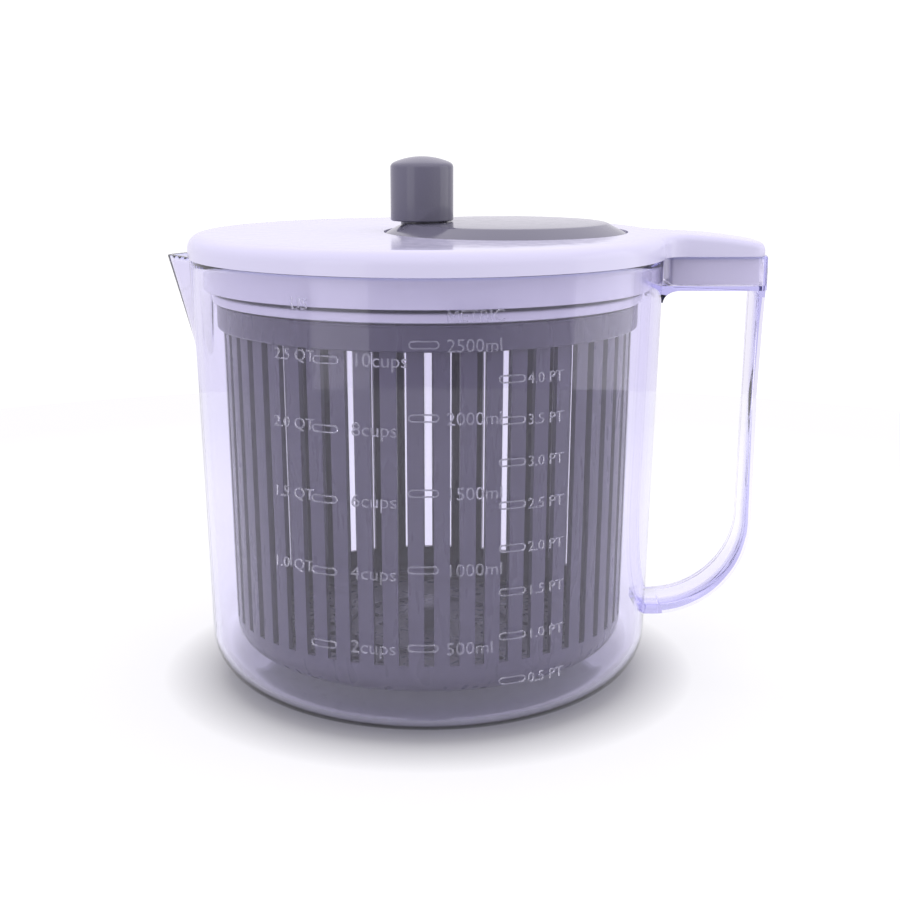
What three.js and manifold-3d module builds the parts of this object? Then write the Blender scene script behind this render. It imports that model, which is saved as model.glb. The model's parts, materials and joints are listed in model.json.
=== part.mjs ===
// A salad spinner: a clear measuring jug with a spout and a handle, a white lid that carries a geared crank,
// and a slotted basket that stands on a pivot in the jug. Millimetres, +Z up. The origin is the centre of the
// jug's base, +X points at the handle and -X at the spout.

import * as THREE from "three";
import { mergeVertices } from "three/addons/utils/BufferGeometryUtils.js";
import { ConvexGeometry } from "three/addons/geometries/ConvexGeometry.js";
import Module from "manifold-3d";

// ---------------------------------------------------------------- driving dimensions

const GAP = 0.3; // left between two pieces that touch
const ROUND = 54; // sides of a large circle
const SMALL_ROUND = 16; // sides of a shaft, a boss or a screw

const JUG = { rimZ: 155, rimR: 84.3, baseR: 80.3, cornerR: 18.6, wall: 2.3, floor: 3 };
const SPOUT = { tipX: 93.7, kinkY: 16, bottomZ: 118, tipHalf: 1.2 };
const CHANNEL = { halfY: 12, endX: 120.2, bulgeX: 121.6, bottomZ: 143, wall: 1.6, filletR: 6 };
const GRIP = {
  halfY: 10.7, bendX: 83.5, bendZ: 57.5, outerR: 35, innerRX: 32.8, innerRZ: 31.2, flange: 1.4, recess: 1,
};
const PIVOT = { footR: 8, shoulderR: 5, shoulderZ: 11.2, pinR: 3, topZ: 20 };

const BASKET = { bottomZ: 13, floor: 2.2, topZ: 139.5, bandR: 75.6, lipR: 75.8, bandZ: 130.8, wall: 2 };
const BASKET_WALL = { topR: 73.5, bottomR: 71.8, cornerR: 11 };
const SLOTS = { count: 54, width: 3.2, lowZ: 25.3, highZ: 130.6, turn: 0.9 }; // turn in degrees from -Y
const FLOOR_HOLES = { r: 3.2, rings: [[23, 8], [38, 14], [53, 20]] };
const HUB = { r: 8, topZ: 24, boreR: 5.15, boreTopZ: 21.9, chamfer: 1.5 };
const KEYS = { count: 6, width: 3, innerR: 71.9, lowZ: 131.6, highZ: 138.3 };

const LID = {
  r: 85.3, topZ: 163.2, edgeR: 5, bottomZ: 155.3, plate: 2, skirtR: 80.2, skirtZ: 144.7, skirtWall: 2,
};
const LID_FLAT_X = -77.3; // the skirt is cut flat here, so the spout can pour past it
const ARM = { halfY: 12.3, endX: 121, filletR: 10, rootX: 76, cornerR: 3, endR: 4.2 };
const ARM_DROP = { fromX: 80, length: 35, depth: 2.7, power: 2.2 }; // the arm's top falls towards its end
const TONGUE = { fromX: 86.4, toX: 118, halfY: 9.7, bottomZ: 145, wall: 1.6 };
const RECESS = { r: 43.7, floorZ: 161.6, floor: 2, wall: 2 };
const COLLAR = { r: 10.5, bottomZ: 156.5, boreR: 8 }; // round the crank's bush
const AXLE_BOSS = { r: 5, bottomZ: 155.1, boreR: 2.2, boreTopZ: 158.8 };

const CRANK_X = 28; // crank axis; the basket's axis is X = 0
const DISC = { r: 43.2, bottomZ: 162, topZ: 166.8, shoulderR: 36, hubR: 5.5 };
const HANDLE_X = -2; // knob axis, 30 mm from the crank axis
const KNOB = { r: 11.25, bottomZ: 167.05, sideTopZ: 186.4, topZ: 189.6, wall: 2 };
const SLEEVE = { r: 5, boreR: 3, grooveR: 3.8, grooveZ: 180 }; // inside the knob, round its pin

const MODULE = 1;
const WHEEL_TEETH = 42;
const PINION_TEETH = 14;
const BACKLASH = 0.24;
const GEARS = { lowZ: 149.8, highZ: 154.7 };

const COVER = { bottomZ: 146, plate: 1.6, wallTopZ: 158.9, wheelR: 32, pinionR: 17 };
const COVER_HOLES = { sleeveR: 5.5, crankScrewR: 6.5, screwR: 1.5 };
const POST = { r: 3.2, fromAxis: 26, angles: [55, 130, -130, -55], bottomZ: 147.9 };
const PILOT = { r: 1.35, topZ: 156 };

const PLATE = { r: 77.2, bottomZ: 140.2, topZ: 143.3, hubR: 8.2, hubTopZ: 145.7, ribs: 6, ribZ: 137.6 };
// the ring under the plate that takes the basket's rim, with a notch for each key
const NEST = { outerR: 73, innerR: 71, bottomZ: 133.5, notchWidth: 5, notchTopZ: 138.6 };
// the hexagon by which the pinion drives the plate
const HEX = { r: 5, socketR: 5.35, socketZ: 141.6, bottomZ: 141.9, topZ: 146 };

const AXLE = { r: 2, bottomZ: 142.2, topZ: 158.5, threadR: 1.3, threadTopZ: 151 };
const AXLE_SCREW = { headR: 3, headZ: 138.1, headHeight: 1.7, shankR: 1, tipZ: 150 };
const AXLE_WASHER = { innerR: 1.3, outerR: 5, bottomZ: 138.4, topZ: 139.1 };
const COVER_SCREW = { headR: 3, headZ: 145.8, headHeight: 1.6, shankR: 1.1, tipZ: 155.5 };
const CRANK_SCREW = { headR: 3.6, headZ: 148.2, headHeight: 1.9, shankR: 1.15, tipZ: 158 };
const CRANK_WASHER = { innerR: 1.9, outerR: 7, bottomZ: 148.5, topZ: 149.4 };
const BUSH = { bottomZ: 155, flangeR: 10.2, flangeZ: 156.2, r: 7.8, topZ: 161.3, play: 0.15 };
const KEY = { r: 4.6, flat: 3.6, play: 0.2 }; // the round bar with two flats that carries the drive gear
const PIN = { flangeR: 4.5, flangeZ: 163.3, r: 2.8, barbR: 3.4, barbZ: 180.2, topZ: 183 };

// ---------------------------------------------------------------- solids

const wasm = await Module();
wasm.setup();

const radians = (degrees) => (degrees * Math.PI) / 180;

// A closed three.js geometry as a manifold-3d solid with its faces pointing out.
function solid(geometry) {
  const plain = geometry.index ? geometry : geometry.clone();
  plain.deleteAttribute("normal");
  plain.deleteAttribute("uv");
  const merged = mergeVertices(plain, 1e-4);
  const triangles = [];
  for (let i = 0; i < merged.index.count; i += 3) {
    const [a, b, c] = merged.index.array.subarray(i, i + 3);
    if (a !== b && b !== c && a !== c) triangles.push([a, b, c]);
  }
  const build = (faces) =>
    new wasm.Manifold(
      new wasm.Mesh({
        numProp: 3,
        vertProperties: new Float32Array(merged.attributes.position.array),
        triVerts: new Uint32Array(faces.flat()),
      }),
    );
  const made = build(triangles);
  return made.volume() >= 0 ? made : build(triangles.map(([a, b, c]) => [a, c, b]));
}

// A profile of [radius, z] points turned about a vertical axis at (x, y).
function turned(profile, { x = 0, y = 0, sides = SMALL_ROUND, start = 0 } = {}) {
  const points = profile.map(([r, z]) => new THREE.Vector2(r, z));
  const geometry = new THREE.LatheGeometry(points, sides, start, 2 * Math.PI);
  geometry.rotateX(Math.PI / 2);
  geometry.translate(x, y, 0);
  return solid(geometry);
}

const cylinder = (r, low, high, options) => turned([[0, low], [r, low], [r, high], [0, high]], options);

const ring = (inner, outer, low, high, options) =>
  turned([[inner, low], [outer, low], [outer, high], [inner, high], [inner, low]], options);

// A plan shape between two heights.
function prism(shape, low, high, curveSegments = 6) {
  const depth = high - low;
  const geometry = new THREE.ExtrudeGeometry(shape, { depth, bevelEnabled: false, curveSegments });
  geometry.translate(0, 0, low);
  return solid(geometry);
}

// A shape drawn in X and Z, given the thickness 2 * halfY about the plane Y = 0.
function slab(shape, halfY) {
  const geometry = new THREE.ExtrudeGeometry(shape, { depth: 2 * halfY, bevelEnabled: false });
  geometry.translate(0, 0, -halfY);
  geometry.rotateX(Math.PI / 2);
  return solid(geometry);
}

function block([x0, y0, z0], [x1, y1, z1], turn = 0) {
  const geometry = new THREE.BoxGeometry(x1 - x0, y1 - y0, z1 - z0);
  geometry.translate((x0 + x1) / 2, (y0 + y1) / 2, (z0 + z1) / 2);
  geometry.rotateZ(turn);
  return solid(geometry);
}

const hull = (points) => solid(new ConvexGeometry(points.map(([x, y, z]) => new THREE.Vector3(x, y, z))));

const join = (...parts) => parts.flat().reduce((a, b) => a.add(b));

const cut = (body, ...cutters) => body.subtract(join(...cutters));

const around = (count, make) => Array.from({ length: count }, (_, i) => make((2 * Math.PI * i) / count));

// Points on an elliptical arc, as [x, z] pairs.
function arc(x, z, rx, rz, from, to, steps) {
  const points = [];
  for (let i = 0; i <= steps; i++) {
    const angle = radians(from + ((to - from) * i) / steps);
    points.push([x + rx * Math.cos(angle), z + rz * Math.sin(angle)]);
  }
  return points;
}

const outline = (points) => new THREE.Shape(points.map(([x, y]) => new THREE.Vector2(x, y)));

// The outline round two circles on the X axis, wheel side and pinion side.
function pearShape(wheelR, pinionR) {
  const lean = Math.asin((wheelR - pinionR) / CRANK_X);
  const shape = new THREE.Shape();
  shape.absarc(CRANK_X, 0, wheelR, -Math.PI / 2 - lean, Math.PI / 2 + lean, false);
  shape.absarc(0, 0, pinionR, Math.PI / 2 + lean, 1.5 * Math.PI - lean, false);
  return shape;
}

// ---------------------------------------------------------------- materials and the exported group

const finish = {
  clear: { color: 0xdcd8f6, roughness: 0.08, metalness: 0, transparent: true, opacity: 0.4 },
  white: { color: 0xeceaf6, roughness: 0.25, metalness: 0 },
  grey: { color: 0x74748a, roughness: 0.28, metalness: 0 },
  basketGrey: { color: 0x807b92, roughness: 0.5, metalness: 0 },
  bearing: { color: 0xd9d8d2, roughness: 0.45, metalness: 0 },
  steel: { color: 0xb4b6ba, roughness: 0.35, metalness: 1 },
};

const spinner = new THREE.Group();

function addMesh(parent, name, body, look) {
  const { numProp, vertProperties, triVerts } = body.getMesh();
  const geometry = new THREE.BufferGeometry();
  const positions = new Float32Array((vertProperties.length / numProp) * 3);
  for (let i = 0; i < positions.length / 3; i++) {
    positions.set(vertProperties.subarray(i * numProp, i * numProp + 3), i * 3);
  }
  geometry.setAttribute("position", new THREE.BufferAttribute(positions, 3));
  geometry.setIndex(new THREE.BufferAttribute(new Uint32Array(triVerts), 1));
  geometry.computeVertexNormals();
  const mesh = new THREE.Mesh(geometry, new THREE.MeshStandardMaterial(look));
  mesh.name = name;
  parent.add(mesh);
}

// ---------------------------------------------------------------- jug

const jugRadius = (z) => JUG.baseR + ((JUG.rimR - JUG.baseR) * z) / JUG.rimZ;

function jugSpout(wall) {
  const top = JUG.rimZ + (wall ? 1 : 0);
  const kink = Math.sqrt(JUG.rimR ** 2 - SPOUT.kinkY ** 2) - wall;
  const kinkY = SPOUT.kinkY - 0.6 * wall;
  const tip = SPOUT.tipX - 1.25 * wall;
  const low = SPOUT.bottomZ + 1.5 * wall;
  return hull([
    [-tip, -SPOUT.tipHalf, top],
    [-tip, SPOUT.tipHalf, top],
    [-kink, -kinkY, top],
    [-kink, kinkY, top],
    [-kink + 8, -kinkY, top],
    [-kink + 8, kinkY, top],
    [-jugRadius(low) + wall, 0, low],
    [-jugRadius(low) + 8, -kinkY, low],
    [-jugRadius(low) + 8, kinkY, low],
  ]);
}

function channelShape(inset) {
  const halfY = CHANNEL.halfY - inset;
  const rise = CHANNEL.bulgeX - CHANNEL.endX;
  const endR = (CHANNEL.halfY ** 2 + rise ** 2) / (2 * rise);
  const middleX = CHANNEL.bulgeX - endR;
  const sweep = Math.asin(halfY / (endR - inset));
  const shape = new THREE.Shape();
  shape.moveTo(78, -halfY);
  shape.lineTo(middleX + (endR - inset) * Math.cos(sweep), -halfY);
  shape.absarc(middleX, 0, endR - inset, -sweep, sweep, false);
  shape.lineTo(78, halfY);
  return shape;
}

function gripBody() {
  const rootX = jugRadius(24) - 1.4;
  const outer = [[120.2, 144], [119.5, 132], [118.4, 104]];
  outer.push(...arc(GRIP.bendX, GRIP.bendZ, GRIP.outerR, GRIP.outerR, 0, -90, 12));
  outer.push([rootX, GRIP.bendZ - GRIP.outerR]);
  const inner = [[rootX, GRIP.bendZ - GRIP.innerRZ]];
  inner.push(...arc(GRIP.bendX, GRIP.bendZ, GRIP.innerRX, GRIP.innerRZ, -90, 0, 12));
  inner.push([117.6, 144]);
  const strip = slab(outline([...outer, ...inner]), GRIP.halfY);
  const webR = GRIP.outerR - GRIP.recess;
  const web = [[119.2, 141], [118.5, 132], [117.4, 104]];
  web.push(...arc(GRIP.bendX, GRIP.bendZ, webR, webR, 0, -84, 12));
  web.push(...arc(GRIP.bendX, GRIP.bendZ, webR + 6, webR + 6, -84, 0, 6), [126, 141]);
  return cut(strip, slab(outline(web), GRIP.halfY - GRIP.flange));
}

function makeJug() {
  const wallR = jugRadius(JUG.cornerR);
  const bowl = turned(
    [[0, 0], ...arc(wallR - JUG.cornerR, JUG.cornerR, JUG.cornerR, JUG.cornerR, -90, 0, 6),
      [JUG.rimR, JUG.rimZ], [0, JUG.rimZ]],
    { sides: ROUND },
  );
  const innerCorner = JUG.cornerR - JUG.floor;
  const inside = turned(
    [[0, JUG.floor], ...arc(wallR - JUG.wall - innerCorner, JUG.cornerR, innerCorner, innerCorner, -90, 0, 6),
      [jugRadius(JUG.rimZ + 1) - JUG.wall, JUG.rimZ + 1], [0, JUG.rimZ + 1]],
    { sides: ROUND },
  );
  const channel = cut(
    prism(channelShape(0), CHANNEL.bottomZ, JUG.rimZ),
    prism(channelShape(CHANNEL.wall), CHANNEL.bottomZ + CHANNEL.wall, JUG.rimZ + 1),
  );
  const filletZ = CHANNEL.bottomZ - CHANNEL.filletR;
  const filletX = jugRadius(CHANNEL.bottomZ) - 0.1 + CHANNEL.filletR;
  const fillet = slab(
    outline([[filletX - CHANNEL.filletR - 4, filletZ], [filletX - CHANNEL.filletR - 4, CHANNEL.bottomZ + 0.8],
      [filletX, CHANNEL.bottomZ + 0.8],
      ...arc(filletX, filletZ, CHANNEL.filletR, CHANNEL.filletR, 90, 180, 4)]),
    CHANNEL.halfY,
  );
  const pivot = turned([
    [0, 2],
    [PIVOT.footR, 2],
    [PIVOT.shoulderR, PIVOT.shoulderZ],
    [PIVOT.pinR, PIVOT.shoulderZ],
    [PIVOT.pinR, PIVOT.topZ - 1],
    [PIVOT.pinR - 1, PIVOT.topZ],
    [0, PIVOT.topZ],
  ]);
  const shell = join(bowl, jugSpout(0), channel, fillet, gripBody());
  return join(cut(shell, inside, jugSpout(JUG.wall)), pivot);
}

// ---------------------------------------------------------------- basket and its bearing

function makeBasket() {
  const { bottomZ, floor, topZ, bandR, lipR, bandZ, wall } = BASKET;
  const { topR, bottomR, cornerR } = BASKET_WALL;
  const shell = turned(
    [
      [0, bottomZ],
      ...arc(bottomR - cornerR, bottomZ + cornerR, cornerR, cornerR, -90, 0, 4),
      [topR, bandZ - 0.2],
      [bandR, bandZ],
      [bandR, topZ - 0.7],
      [lipR, topZ - 0.7],
      [lipR, topZ],
      [bandR - wall, topZ],
      [bandR - wall, bandZ + 0.7],
      [topR - wall, bandZ - 0.8],
      ...arc(bottomR - cornerR, bottomZ + cornerR, cornerR - wall, cornerR - floor, 0, -90, 4),
      [0, bottomZ + floor],
    ],
    { sides: SLOTS.count, start: Math.PI / SLOTS.count + radians(SLOTS.turn) },
  );
  const hub = turned([
    [0, bottomZ],
    [HUB.r, bottomZ],
    [HUB.r, HUB.topZ - HUB.chamfer],
    [HUB.r - HUB.chamfer, HUB.topZ],
    [0, HUB.topZ],
  ]);
  const keys = around(KEYS.count, (turn) =>
    block([KEYS.innerR, -KEYS.width / 2, KEYS.lowZ], [bandR - wall / 2, KEYS.width / 2, KEYS.highZ], turn),
  );
  const frontSlot = radians(SLOTS.turn - 90);
  const slots = around(SLOTS.count, (turn) =>
    block([66, -SLOTS.width / 2, SLOTS.lowZ], [80, SLOTS.width / 2, SLOTS.highZ], turn + frontSlot),
  );
  const holes = FLOOR_HOLES.rings.flatMap(([ringR, count]) =>
    around(count, (turn) =>
      cylinder(FLOOR_HOLES.r, bottomZ - 1, bottomZ + floor + 1, {
        x: ringR * Math.cos(turn),
        y: ringR * Math.sin(turn),
        sides: 6,
      }),
    ),
  );
  const bore = cylinder(HUB.boreR, bottomZ - 1, HUB.boreTopZ);
  return cut(join(shell, hub, keys), slots, holes, bore);
}

function makePivotBush() {
  const flangeZ = PIVOT.shoulderZ + GAP;
  const boreR = PIVOT.pinR + 0.2;
  return turned([
    [0, PIVOT.topZ + 1.5],
    [HUB.boreR - 0.25, PIVOT.topZ + 1.5],
    [HUB.boreR - 0.25, flangeZ + 1.3],
    [7.5, flangeZ + 1.3],
    [7.5, flangeZ],
    [boreR, flangeZ],
    [boreR, PIVOT.topZ + GAP],
    [0, PIVOT.topZ + GAP],
  ]);
}

// ---------------------------------------------------------------- lid

const postPlaces = POST.angles.map((degrees) => [
  CRANK_X + POST.fromAxis * Math.cos(radians(degrees)),
  POST.fromAxis * Math.sin(radians(degrees)),
]);

// The arm over the handle, in plan, with a fillet on each side where it meets the round lid.
function armPlan() {
  const filletY = ARM.halfY + ARM.filletR;
  const filletX = Math.sqrt((LID.r + ARM.filletR) ** 2 - filletY ** 2);
  const rim = Math.atan2(filletY, filletX);
  const shape = new THREE.Shape();
  const cornerX = ARM.endX - ARM.cornerR;
  const cornerY = ARM.halfY - ARM.cornerR;
  const rimY = LID.r * Math.sin(rim);
  shape.moveTo(ARM.rootX - 6, -rimY);
  shape.lineTo(LID.r * Math.cos(rim), -rimY);
  shape.absarc(filletX, -filletY, ARM.filletR, Math.PI - rim, Math.PI / 2, true);
  shape.lineTo(cornerX, -ARM.halfY);
  shape.absarc(cornerX, -cornerY, ARM.cornerR, -Math.PI / 2, 0, false);
  shape.absarc(cornerX, cornerY, ARM.cornerR, 0, Math.PI / 2, false);
  shape.lineTo(filletX, ARM.halfY);
  shape.absarc(filletX, filletY, ARM.filletR, -Math.PI / 2, -Math.PI + rim, true);
  shape.lineTo(ARM.rootX - 6, rimY);
  return shape;
}

// Height of the arm's top at x.
function armTop(x) {
  const along = Math.max(0, x - ARM_DROP.fromX) / ARM_DROP.length;
  return LID.topZ - ARM_DROP.depth * along ** ARM_DROP.power;
}

// The arm's side view, from startX to its rounded end, with its top and end moved in by inset.
function armSide(startX, lowZ, inset) {
  const curveX = ARM.endX - ARM.endR;
  const end = arc(curveX, armTop(curveX) - ARM.endR, ARM.endR - inset, ARM.endR - inset, 0, 90, 5);
  const steps = 6;
  const top = Array.from({ length: steps }, (_, i) => curveX + ((startX - curveX) * (i + 1)) / steps);
  return outline([
    [startX, lowZ],
    [ARM.endX - inset, lowZ],
    ...end,
    ...top.map((x) => [x, armTop(x) - inset]),
  ]);
}

function makeLidArm() {
  const arm = slab(armSide(ARM.rootX, LID.bottomZ, 0), 30)
    .intersect(prism(armPlan(), LID.bottomZ - 1, LID.topZ + 1));
  const tongue = block(
    [TONGUE.fromX, -TONGUE.halfY, TONGUE.bottomZ],
    [TONGUE.toX, TONGUE.halfY, LID.bottomZ + 1],
  );
  const hollowEnd = TONGUE.toX - TONGUE.wall;
  const hollowSide = armSide(TONGUE.fromX + TONGUE.wall, TONGUE.bottomZ - 1, LID.plate);
  const hollow = slab(hollowSide, TONGUE.halfY - TONGUE.wall)
    .intersect(block([0, -ARM.halfY, 0], [hollowEnd, ARM.halfY, LID.topZ]));
  return { arm: join(arm, tongue), hollow };
}

function makeLidCover() {
  const skirtInner = LID.skirtR - LID.skirtWall;
  const cap = turned(
    [
      [0, LID.topZ],
      ...arc(LID.r - LID.edgeR, LID.topZ - LID.edgeR, LID.edgeR, LID.edgeR, 90, 0, 4),
      [LID.r, LID.bottomZ],
      [LID.r - 1.9, LID.bottomZ],
      [LID.r - 1.9, LID.bottomZ + 4],
      [LID.skirtR, LID.bottomZ + 4],
      [LID.skirtR, LID.topZ - LID.plate],
      [0, LID.topZ - LID.plate],
    ],
    { sides: ROUND },
  );
  const flat = LID_FLAT_X + LID.skirtWall;
  const skirt = cut(
    cylinder(LID.skirtR, LID.skirtZ, LID.topZ - 1, { sides: ROUND })
      .intersect(block([LID_FLAT_X, -90, 100], [90, 90, 200])),
    cylinder(skirtInner, LID.skirtZ - 1, LID.topZ - LID.plate, { sides: ROUND })
      .intersect(block([flat, -90, 100], [90, 90, 200])),
  );
  const at = { x: CRANK_X, sides: 36 };
  const recessLow = RECESS.floorZ - RECESS.floor;
  const well = cylinder(RECESS.r + RECESS.wall, recessLow, LID.topZ - 0.5, at);
  const recess = cylinder(RECESS.r, RECESS.floorZ, LID.topZ + 1, at);
  const collar = cylinder(COLLAR.r, COLLAR.bottomZ, recessLow + 1, { x: CRANK_X });
  const axleBoss = cylinder(AXLE_BOSS.r, AXLE_BOSS.bottomZ, recessLow + 1);
  const posts = postPlaces.map(([x, y]) => cylinder(POST.r, POST.bottomZ, recessLow + 1, { x, y }));
  const bushBore = cylinder(COLLAR.boreR, COLLAR.bottomZ - 1, LID.topZ, { x: CRANK_X });
  const axleBore = cylinder(AXLE_BOSS.boreR, AXLE_BOSS.bottomZ - 1, AXLE_BOSS.boreTopZ);
  const pilotHoles = postPlaces.map(([x, y]) =>
    cylinder(PILOT.r, POST.bottomZ - 1, PILOT.topZ, { x, y, sides: 10 }),
  );
  const { arm, hollow } = makeLidArm();
  return cut(
    join(cap, skirt, well, collar, axleBoss, posts, arm),
    recess,
    bushBore,
    axleBore,
    pilotHoles,
    hollow,
  );
}

function makeGearCover() {
  const { bottomZ, plate, wallTopZ, wheelR, pinionR } = COVER;
  const tray = cut(
    prism(pearShape(wheelR, pinionR), bottomZ, wallTopZ),
    prism(pearShape(wheelR - plate, pinionR - plate), bottomZ + plate, wallTopZ + 1),
  );
  const sleeveHole = cylinder(COVER_HOLES.sleeveR, bottomZ - 1, bottomZ + 5);
  const screwAccess = cylinder(COVER_HOLES.crankScrewR, bottomZ - 1, bottomZ + 5, { x: CRANK_X });
  const screwHoles = postPlaces.map(([x, y]) =>
    cylinder(COVER_HOLES.screwR, bottomZ - 1, bottomZ + 5, { x, y, sides: 10 }),
  );
  return cut(tray, sleeveHole, screwAccess, screwHoles);
}

// A pan-head screw seen from below: the head's underside at headZ, the shank going up.
function makeScrew({ x = 0, y = 0, headR, headZ, headHeight, shankR, tipZ }) {
  const faceZ = headZ - headHeight;
  const body = turned(
    [
      [0, faceZ],
      [headR - 0.7, faceZ],
      [headR, faceZ + 0.8],
      [headR, headZ],
      [shankR, headZ],
      [shankR, tipZ - shankR],
      [0, tipZ],
    ],
    { x, y, sides: 12 },
  );
  const slot = { length: 1.4 * headR, width: 0.7, depth: 0.7 };
  const drive = [0, Math.PI / 2].map((turn) => {
    const bar = new THREE.BoxGeometry(slot.length, slot.width, 2 * slot.depth);
    bar.rotateZ(turn);
    bar.translate(x, y, faceZ);
    return solid(bar);
  });
  return cut(body, drive);
}

const makeWasher = ({ x = 0, innerR, outerR, bottomZ, topZ }) => ring(innerR, outerR, bottomZ, topZ, { x });

// ---------------------------------------------------------------- gears

// A spur gear's outline with involute flanks, a tooth centred on the angle "phase".
function gearOutline(teeth, phase) {
  const pitchR = (MODULE * teeth) / 2;
  const baseR = pitchR * Math.cos(radians(20));
  const rootR = pitchR - 1.2 * MODULE;
  const tipR = pitchR + 0.9 * MODULE;
  const involute = (r) => {
    const angle = Math.acos(Math.min(1, baseR / r));
    return Math.tan(angle) - angle;
  };
  const halfAtPitch = Math.PI / (2 * teeth) - BACKLASH / (2 * pitchR);
  const halfAt = (r) => halfAtPitch + involute(pitchR) - involute(r);
  const flank = baseR > rootR ? [rootR, baseR, pitchR, tipR] : [rootR, pitchR, tipR];
  const points = [];
  for (let tooth = 0; tooth < teeth; tooth++) {
    const middle = phase + (2 * Math.PI * tooth) / teeth;
    for (const r of flank) points.push([r, middle - halfAt(r)]);
    for (const r of [...flank].reverse()) points.push([r, middle + halfAt(r)]);
  }
  return points.map(([r, angle]) => [r * Math.cos(angle), r * Math.sin(angle)]);
}

// A round bar with two flats, the key between the crank's hub and its gear.
function doubleD(r, flat, low, high) {
  return cylinder(r, low, high, { x: CRANK_X })
    .intersect(block([CRANK_X - flat, -r, low - 1], [CRANK_X + flat, r, high + 1]));
}

function makeDriveGear() {
  const wheel = gearOutline(WHEEL_TEETH, 0).map(([x, y]) => [x + CRANK_X, y]);
  const body = prism(outline(wheel), GEARS.lowZ, GEARS.highZ);
  const windows = around(6, (turn) =>
    cylinder(3.4, GEARS.lowZ - 1, GEARS.highZ + 1, {
      x: CRANK_X + 13.4 * Math.cos(turn),
      y: 13.4 * Math.sin(turn),
      sides: 10,
    }),
  );
  return cut(body, doubleD(KEY.r + KEY.play, KEY.flat + KEY.play, GEARS.lowZ - 1, GEARS.highZ + 1), windows);
}

function makePinion() {
  const teeth = prism(outline(gearOutline(PINION_TEETH, Math.PI / PINION_TEETH)), GEARS.lowZ, GEARS.highZ);
  const sleeve = cylinder(COVER_HOLES.sleeveR - GAP, HEX.topZ - 0.2, GEARS.lowZ + 0.5);
  const hex = cylinder(HEX.r, HEX.bottomZ, HEX.topZ, { sides: 6 });
  return cut(join(teeth, sleeve, hex), cylinder(AXLE.r + 0.15, HEX.bottomZ - 1, GEARS.highZ + 1));
}

// ---------------------------------------------------------------- crank, knob and drive plate

function makeCrankDisc() {
  const { r, bottomZ, topZ, shoulderR, hubR } = DISC;
  const shell = turned(
    [
      [0, topZ],
      [0.6 * shoulderR, topZ - 0.1],
      [shoulderR, topZ - 0.5],
      [shoulderR + 4, topZ - 1.2],
      [r - 1, topZ - 2.6],
      [r, topZ - 3.8],
      [r, bottomZ],
      [r - 1.9, bottomZ],
      [r - 1.9, topZ - 3.6],
      [shoulderR, topZ - 2.5],
      [hubR + 3, topZ - 2.1],
      [hubR, topZ - 2.5],
      [hubR, GEARS.highZ + 0.4],
      [0, GEARS.highZ + 0.4],
    ],
    { x: CRANK_X, sides: 36 },
  );
  const key = doubleD(KEY.r, KEY.flat, GEARS.lowZ - 0.2, GEARS.highZ + 1);
  const boss = cylinder(7.5, bottomZ + 0.1, topZ - 1, { x: HANDLE_X });
  const { shankR, tipZ } = CRANK_SCREW;
  const screwHole = cylinder(shankR + 0.25, GEARS.lowZ - 1, tipZ + 1, { x: CRANK_X, sides: 12 });
  const pinHole = cylinder(PIN.r + GAP, bottomZ - 1, topZ + 1, { x: HANDLE_X });
  const pinSeat = cylinder(PIN.flangeR + GAP, bottomZ - 1, PIN.flangeZ + GAP, { x: HANDLE_X });
  return cut(join(shell, key, boss), screwHole, pinHole, pinSeat);
}

function makeKnob() {
  const { r, bottomZ, sideTopZ, topZ, wall } = KNOB;
  const dome = topZ - sideTopZ;
  const domeR = (r ** 2 + dome ** 2) / (2 * dome);
  const sweep = (Math.asin(r / domeR) * 180) / Math.PI;
  return turned(
    [
      ...arc(0, topZ - domeR, domeR, domeR, 90, 90 - sweep, 5),
      [r, bottomZ + 0.6],
      [r - 0.6, bottomZ],
      [r - wall, bottomZ],
      [r - wall, sideTopZ - wall],
      [SLEEVE.r, sideTopZ - wall],
      [SLEEVE.r, bottomZ + 0.4],
      [SLEEVE.boreR, bottomZ + 0.4],
      [SLEEVE.boreR, SLEEVE.grooveZ],
      [SLEEVE.grooveR, SLEEVE.grooveZ],
      [SLEEVE.grooveR, PIN.topZ + GAP],
      [0, PIN.topZ + GAP],
    ],
    { x: HANDLE_X, sides: 24 },
  );
}

function makeKnobPin() {
  const { flangeR, flangeZ, r, barbR, barbZ, topZ } = PIN;
  const low = DISC.bottomZ + 0.1;
  return turned(
    [[0, low], [flangeR, low], [flangeR, flangeZ], [r, flangeZ], [r, barbZ], [barbR, barbZ + 0.4],
      [r - 0.6, topZ], [0, topZ]],
    { x: HANDLE_X },
  );
}

function makeCrankBush() {
  const { bottomZ, flangeR, flangeZ, r, topZ, play } = BUSH;
  const inner = DISC.hubR + play;
  return turned(
    [[inner, bottomZ], [flangeR, bottomZ], [flangeR, flangeZ], [r, flangeZ], [r, topZ], [inner, topZ],
      [inner, bottomZ]],
    { x: CRANK_X },
  );
}

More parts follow.
